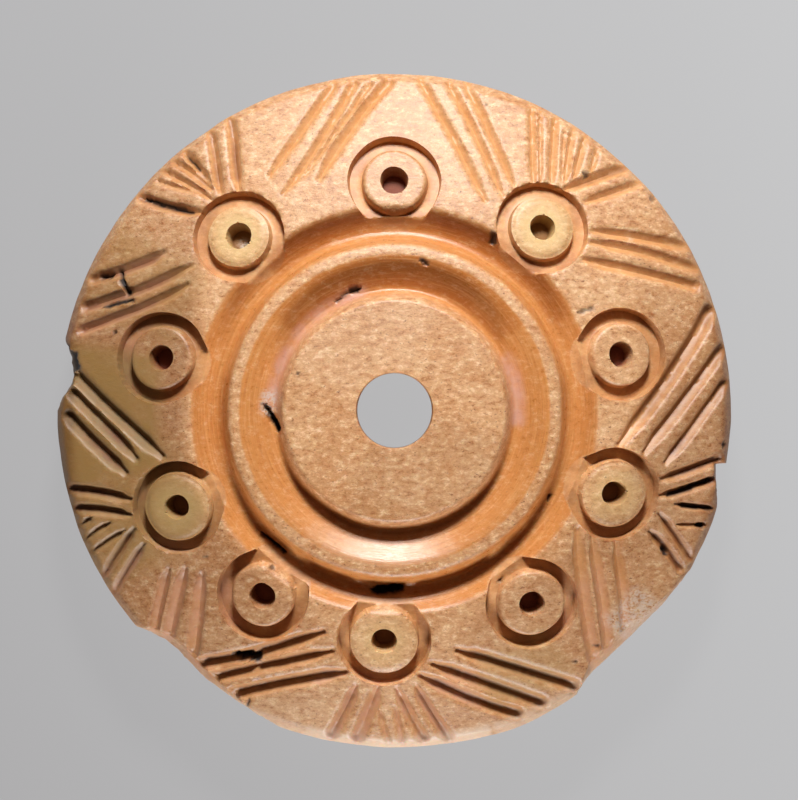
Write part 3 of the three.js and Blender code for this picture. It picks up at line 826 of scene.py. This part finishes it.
def carving_tree():
    """The tree that carves the turned blank."""
    tree = bpy.data.node_groups.new("carve_whorl", "GeometryNodeTree")
    tree.is_modifier = True
    for name, kind, value in TREE_INPUTS:
        socket = tree.interface.new_socket(name, in_out="INPUT", socket_type=kind)
        if value is not None:
            socket.default_value = value
    tree.interface.new_socket("Geometry", in_out="OUTPUT", socket_type="NodeSocketGeometry")
    nodes = CarvingNodes(tree)
    given = nodes.add("NodeGroupInput").outputs
    eyes, strokes, marks = (
        nodes.add("GeometryNodeObjectInfo", {"Object": given[name]}).outputs["Geometry"]
        for name in ("Eye plan", "Stroke plan", "Mark plan")
    )
    shape = cut_along_plan(nodes, given["Geometry"], strokes, "stroke", given["Seed"])
    shape = cut_along_plan(nodes, shape, marks, "mark", given["Seed"])
    shape = sink_strokes(nodes, shape, given)
    shape = cut_eyes(nodes, shape, given, eyes)
    shape = sink_marks(nodes, shape, given)
    shape = find_turned(nodes, shape)
    shape = roughen(nodes, shape, given)
    shape = drift_sideways(nodes, shape, given)
    scale = nodes.xyz(*[given["Scale to metres"]] * 3)
    shape = nodes.add("GeometryNodeTransform", {"Geometry": shape, "Scale": scale}).outputs[0]
    shape = nodes.add("GeometryNodeRealizeInstances", {"Geometry": shape}).outputs[0]
    shape = nodes.add("GeometryNodeSetMaterial", {"Geometry": shape, "Material": given["Finish"]}).outputs[0]
    nodes.add("NodeGroupOutput", {"Geometry": shape})
    return tree


# ---- Carving ----


def plan_object(name, points, values):
    """A mesh of loose points, one for each row of a plan, with the row's values as attributes."""
    mesh = bpy.data.meshes.new(name)
    mesh.from_pydata([tuple(p) for p in points], [], [])
    for value, data in values.items():
        add_values(mesh, value, data, "FLOAT_VECTOR" if np.ndim(data) == 2 else "FLOAT")
    plan = bpy.data.objects.new(name, mesh)
    bpy.context.scene.collection.objects.link(plan)
    return plan


def flat_places(angles, distances):
    plan = on_plan(np.array(angles, float), np.array(distances, float))
    return np.column_stack([plan, np.zeros(len(plan))])


def line_plan(name, rows, values):
    """A plan of cuts, each from a tail to a head."""
    columns = list(zip(*rows))
    heads = flat_places(columns[2], columns[3])
    return plan_object(name, flat_places(columns[0], columns[1]), {"head": heads, **values})


def carved_whorl(finish):
    """The blank, carved by the tree, as a plain mesh in metres."""
    axes = [eye_axes(eye[0], eye[1]) for eye in EYES]
    columns = list(zip(*EYES))
    eye_values = {"boss": columns[2], "pit": columns[3], "soft": columns[4]}
    eye_values["axis"] = [tuple(axis) for _, axis, _, _ in axes]
    eyes = plan_object("eye_plan", [centre for centre, _, _, _ in axes], eye_values)
    rows = sum(STROKES.values(), [])
    widths = np.array([row[4] for row in rows])
    level = np.ones(len(rows))
    strokes = line_plan(
        "stroke_plan",
        rows,
        {
            "width": widths,
            "depth": widths * STROKE_DEPTH_SHARE,
            "bow": [row[5] for row in rows],
            "rough": level * 0.08,
            "dark": level * 0,
            "tip": level * STROKE_TIP_SHARE,
        },
    )
    columns = list(zip(*MARKS))
    level = np.ones(len(MARKS))
    mark_values = {"width": columns[4], "depth": columns[5], "bow": level * 0, "dark": columns[6]}
    mark_values |= {"rough": np.array(columns[4]) * 0.8, "tip": level * 0.5}
    marks = line_plan("mark_plan", MARKS, mark_values)

    blank = bpy.data.objects.new("whorl_carving", turned_blank())
    bpy.context.scene.collection.objects.link(blank)
    carving = blank.modifiers.new("carving", "NODES")
    carving.node_group = carving_tree()
    given = {"Eye plan": eyes, "Stroke plan": strokes, "Mark plan": marks, "Finish": finish}
    given |= {name: float(value) for name, _, value in TREE_INPUTS if value is not None}
    for item in carving.node_group.interface.items_tree:
        if item.in_out == "INPUT" and item.name in given:
            carving[item.identifier] = given[item.name]
    depsgraph = bpy.context.evaluated_depsgraph_get()
    mesh = bpy.data.meshes.new_from_object(blank.evaluated_get(depsgraph), depsgraph=depsgraph)
    mesh.name = "bone_whorl"
    mesh.shade_smooth()
    mesh.set_sharp_from_angle(angle=math.radians(48))
    blank.modifiers.remove(carving)
    for used in (blank, eyes, strokes, marks):
        data = used.data
        bpy.data.objects.remove(used)
        bpy.data.meshes.remove(data)
    whorl = bpy.data.objects.new("bone_whorl", mesh)
    bpy.context.scene.collection.objects.link(whorl)
    return whorl


# ---- Finish ----


def tone(red, green, blue):
    """A display colour, 0 to 255, as the linear colour that a shader takes."""
    linear = []
    for value in (red, green, blue):
        share = value / 255
        linear.append(share / 12.92 if share <= 0.04045 else ((share + 0.055) / 1.055) ** 2.4)
    return (*linear, 1.0)


class FinishNodes(Nodes):
    """Calls that only a material has."""

    def value(self, name):
        return self.add("ShaderNodeAttribute", attribute_name=name).outputs["Fac"]

    def blend(self, share, a, b, blend_type="MIX"):
        node = self.add("ShaderNodeMix", data_type="RGBA", blend_type=blend_type)
        for socket, value in zip([s for s in node.inputs if s.enabled], (share, a, b)):
            self.feed(socket, value)
        return next(s for s in node.outputs if s.enabled)


MASKS = ("stroke", "socket", "eye", "pit", "turned", "broken", "mark_dark", *STAINS, "rim_dark_and_painted_shade")


def bone_patterns(nodes, place):
    """The noise patterns that the bone's colour, gloss and grain share."""
    fibres = nodes.vector("MULTIPLY", place, (0.75, 1.25, 1.0))
    x, y, _ = nodes.split(place)
    distance = nodes.vector("LENGTH", nodes.xyz(x, y, 0.0))
    return {
        "clouds": nodes.noise(place, 0.22, 3.0, 0.55),
        "patches": nodes.noise(nodes.vector("ADD", place, (11.0, 4.0, 0.0)), 0.9, 4.0, 0.6),
        "flecks": nodes.noise(fibres, 2.6, 6.0, 0.8),
        "specks": nodes.noise(nodes.vector("ADD", fibres, (5.0, 9.0, 0.0)), 6.0, 4.0, 0.7),
        "pores": nodes.noise(nodes.vector("ADD", fibres, (2.0, 7.0, 4.0)), 3.4, 5.0, 0.75),
        "rings": nodes.noise(nodes.xyz(distance, nodes.times(x, 0.04), nodes.times(y, 0.04)), 9.0, 4.0, 0.7),
    }


def skin_color(nodes, masks, patterns):
    """Slow clouds of tone, warmer where tools have cut below the skin, painted shade on the grooves' upper
    sides, then mottling and turned rings.
    """
    clouds, patches, flecks, specks, rings = (
        patterns[name] for name in ("clouds", "patches", "flecks", "specks", "rings")
    )
    color = nodes.blend(nodes.ramp(clouds, 0.35, 0.68), tone(216, 166, 120), tone(205, 150, 102))
    color = nodes.blend(nodes.ramp(patches, 0.45, 0.75, 0.0, 0.4), color, tone(204, 140, 86))
    color = nodes.blend(nodes.times(masks["carved"], 0.6), color, tone(216, 152, 90))
    color = nodes.blend(masks["turned"], color, tone(206, 136, 74))
    # Painted shade: the grooves' upper sides are multiplied darker and warmer.
    color = nodes.blend(masks["groove_painted_shade"], color, (0.78, 0.62, 0.45, 1.0), "MULTIPLY")
    for pattern, start, full, most, mask, fleck in (
        (flecks, 0.49, 0.68, 1.0, "uncut", tone(244, 206, 162)),
        (flecks, 0.5, 0.31, 1.0, "uncut", tone(170, 108, 62)),
        (specks, 0.42, 0.28, 0.9, "uncut", tone(120, 62, 30)),
        (rings, 0.5, 0.7, 0.35, "turned", tone(232, 176, 120)),
        (rings, 0.5, 0.3, 0.35, "turned", tone(176, 104, 50)),
    ):
        share = nodes.times(nodes.ramp(pattern, start, full, 0.0, most), masks[mask])
        color = nodes.blend(share, color, fleck)
    return color


def stained_color(nodes, masks, patterns, color):
    """Stains from the ground and from wear, painted light, darkening towards the rim with painted shade, dirt
    and painted shade in the strokes, painted shade in the sockets and pits, and the dark of cracks and voids,
    dirt with painted shade.
    """
    patches = patterns["patches"]
    olive = nodes.times(masks["olive"], nodes.ramp(patches, 0.2, 0.6, 0.6, 1.0))
    color = nodes.blend(olive, color, tone(190, 152, 92))
    color = nodes.blend(nodes.times(olive, masks["carved"], 0.55), color, tone(150, 124, 84))
    # Painted light: the lower rim, the inner groove's lower wall and the upper boss top are made paler.
    color = nodes.blend(nodes.times(masks["painted_light"], 0.75), color, tone(238, 208, 180))
    # Darker towards the rim, and painted shade on the lower half of the boss top.
    color = nodes.blend(masks["rim_dark_and_painted_shade"], color, (0.42, 0.34, 0.29, 1.0), "MULTIPLY")
    pink = nodes.times(masks["pink"], nodes.ramp(patches, 0.3, 0.6, 0.2, 0.9), masks["cut"])
    color = nodes.blend(pink, color, tone(208, 158, 140))
    cream = nodes.times(masks["cream"], masks["eye"])
    cream_tone = nodes.blend(masks["olive"], tone(228, 194, 132), tone(176, 152, 100))
    color = nodes.blend(cream, color, cream_tone)
    # Dirt and painted shade: the bottoms of the strokes are made dark brown.
    dirt_and_painted_shade = nodes.times(nodes.ramp(masks["stroke"], 0.15, 0.36), nodes.ramp(patches, 0.35, 0.6, 0.4, 1.0))
    color = nodes.blend(nodes.times(dirt_and_painted_shade, masks["dirt_and_painted_shade"]), color, tone(120, 64, 34))
    # Painted shade: the socket floors round the bosses are made patchily darker.
    socket_painted_shade = nodes.times(masks["socket"], nodes.ramp(patches, 0.4, 0.65), 0.35)
    color = nodes.blend(socket_painted_shade, color, tone(140, 80, 50))
    # Painted shade: the drilled pits are made dark brown, a little lighter in the cream eyes.
    pit_painted_shade = nodes.blend(cream, tone(116, 50, 28), tone(130, 84, 32))
    color = nodes.blend(nodes.times(masks["pit"], 0.93), color, pit_painted_shade)
    # Dirt and painted shade: the cracks, pits and voids are made near-black.
    color = nodes.blend(masks["mark_dark"], color, tone(26, 14, 12))
    crumbs = nodes.times(masks["pale"], nodes.ramp(patterns["specks"], 0.4, 0.55))
    return nodes.blend(crumbs, color, tone(206, 190, 176))


def fine_grain(nodes, masks, patterns):
    """Pores in the skin and rings in the grooves, too fine to carve."""
    grain = nodes.math("ADD", nodes.times(patterns["specks"], 0.4), patterns["pores"])
    pores = nodes.times(nodes.math("SUBTRACT", grain, 0.7), nodes.times(masks["uncut"], 0.036))
    rings = nodes.times(nodes.math("SUBTRACT", patterns["rings"], 0.5), nodes.times(masks["turned"], 0.03))
    feeds = {"Height": nodes.math("ADD", pores, rings), "Strength": 0.8, "Distance": MM}
    return nodes.add("ShaderNodeBump", feeds).outputs[0]


def bone_roughness(nodes, masks, patterns):
    """Glossy where turned, dull in pits, cracks and stained cuts."""
    stained_cut = nodes.times(masks["carved"], nodes.math("ADD", nodes.times(masks["olive"], 0.8), 0.2))
    dry = nodes.math("MAXIMUM", stained_cut, nodes.times(masks["broken"], 0.3))
    dull = nodes.math("MAXIMUM", nodes.math("MAXIMUM", masks["pit"], masks["mark_dark"]), dry)
    skin = nodes.ramp(patterns["flecks"], 0.3, 0.7, 0.36, 0.46)
    skin = nodes.math("ADD", skin, nodes.times(masks["turned"], -0.1))
    return nodes.math("ADD", skin, nodes.times(dull, 0.3))


def bone():
    """Old stained bone: mottled where it is uncut, glossy where it was turned or carved."""
    material = bpy.data.materials.new("old_bone")
    material.use_nodes = True
    nodes = FinishNodes(material.node_tree)
    material.node_tree.nodes.clear()
    place = nodes.vector("SCALE", nodes.add("ShaderNodeTexCoord").outputs["Object"], 1 / MM)
    masks = {name: nodes.value(name) for name in MASKS}
    stroke_cut = nodes.math("MULTIPLY", masks["stroke"], 5.0, clamp=True)
    masks["carved"] = nodes.math("MAXIMUM", stroke_cut, masks["socket"])
    masks["cut"] = nodes.math("MAXIMUM", masks["carved"], masks["turned"])
    masks["uncut"] = nodes.math("SUBTRACT", 1.0, nodes.times(masks["cut"], 0.68))
    patterns = bone_patterns(nodes, place)
    color = stained_color(nodes, masks, patterns, skin_color(nodes, masks, patterns))
    shader = nodes.add(
        "ShaderNodeBsdfPrincipled",
        {
            "Base Color": color,
            "Roughness": bone_roughness(nodes, masks, patterns),
            "Normal": fine_grain(nodes, masks, patterns),
            "Subsurface Weight": 0.22,
            "Subsurface Radius": (1.0, 0.35, 0.12),
            "Subsurface Scale": 0.0005,
            "Specular IOR Level": 0.5,
        },
    )
    nodes.add("ShaderNodeOutputMaterial", {"Surface": shader.outputs[0]})
    return material


# ---- Studio ----

# Middle and width of the view, and the height on the whorl where they hold. Then, in metres, the studio.
VIEW_CENTRE = (0.24, 0.56)
VIEW_WIDTH = 42.79
VIEW_PLANE = 4.2
CAMERA_HEIGHT = 0.6
FLOOR_HALF, FLOOR_LEVEL = 1.5, -0.00002


def make_floor():
    material = bpy.data.materials.new("glowing_floor")
    material.use_nodes = True
    nodes = FinishNodes(material.node_tree)
    shader = material.node_tree.nodes["Principled BSDF"]
    x, y, _ = nodes.split(nodes.vector("SCALE", nodes.add("ShaderNodeTexCoord").outputs["Object"], 1 / MM))
    # Painted light: the floor glows rather than being lit, brighter towards the upper right, so the whorl
    # casts almost no shadow on it.
    across = nodes.math("ADD", nodes.times(x, 0.8), nodes.times(y, 0.4))
    share = nodes.ramp(across, -26.0, 26.0, smooth=False)
    glow = nodes.blend(share, tone(172, 171, 172), tone(197, 197, 198))
    nodes.feed(shader.inputs["Emission Color"], glow)
    shader.inputs["Base Color"].default_value = tone(45, 45, 45)
    shader.inputs["Roughness"].default_value = 0.9
    shader.inputs["Specular IOR Level"].default_value = 0.0
    shader.inputs["Emission Strength"].default_value = 0.97
    mesh = bpy.data.meshes.new("floor")
    corners = ((-1, -1), (1, -1), (1, 1), (-1, 1))
    mesh.from_pydata([(x * FLOOR_HALF, y * FLOOR_HALF, FLOOR_LEVEL) for x, y in corners], [], [(0, 1, 2, 3)])
    mesh.materials.append(material)
    floor = bpy.data.objects.new("floor", mesh)
    bpy.context.scene.collection.objects.link(floor)


def area_light(name, azimuth, elevation, distance, size, power):
    """A square soft light on the side that the azimuth names, aimed at the whorl."""
    light = bpy.data.lights.new(name, "AREA")
    light.size, light.energy = size, power
    lamp = bpy.data.objects.new(name, light)
    a, e = math.radians(azimuth), math.radians(elevation)
    direction = Vector((math.cos(a) * math.cos(e), math.sin(a) * math.cos(e), math.sin(e)))
    lamp.location = direction * distance
    lamp.rotation_euler = direction.to_track_quat("Z", "Y").to_euler()
    bpy.context.scene.collection.objects.link(lamp)


def make_studio():
    scene = bpy.context.scene
    scene.view_settings.view_transform = "Standard"
    world = bpy.data.worlds.new("studio")
    world.use_nodes = True
    background = world.node_tree.nodes["Background"]
    background.inputs["Color"].default_value = (1, 1, 1, 1)
    background.inputs["Strength"].default_value = 0.02
    scene.world = world
    area_light("key", 88, 41.5, 0.22, 0.044, 0.69)
    area_light("fill", 272, 10, 0.5, 0.12, 2.4)

    camera = bpy.data.cameras.new("camera")
    camera.sensor_width = 36
    camera.lens = 36 * (CAMERA_HEIGHT - VIEW_PLANE * MM) / (VIEW_WIDTH * MM)
    camera.clip_start, camera.clip_end = 0.01, 10
    holder = bpy.data.objects.new("camera", camera)
    holder.location = (VIEW_CENTRE[0] * MM, VIEW_CENTRE[1] * MM, CAMERA_HEIGHT)
    scene.collection.objects.link(holder)
    scene.camera = holder


# ---- Build ----

finish = bone()
whorl = carved_whorl(finish)
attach(whorl, "root")
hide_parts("whorl")
make_floor()
make_studio()
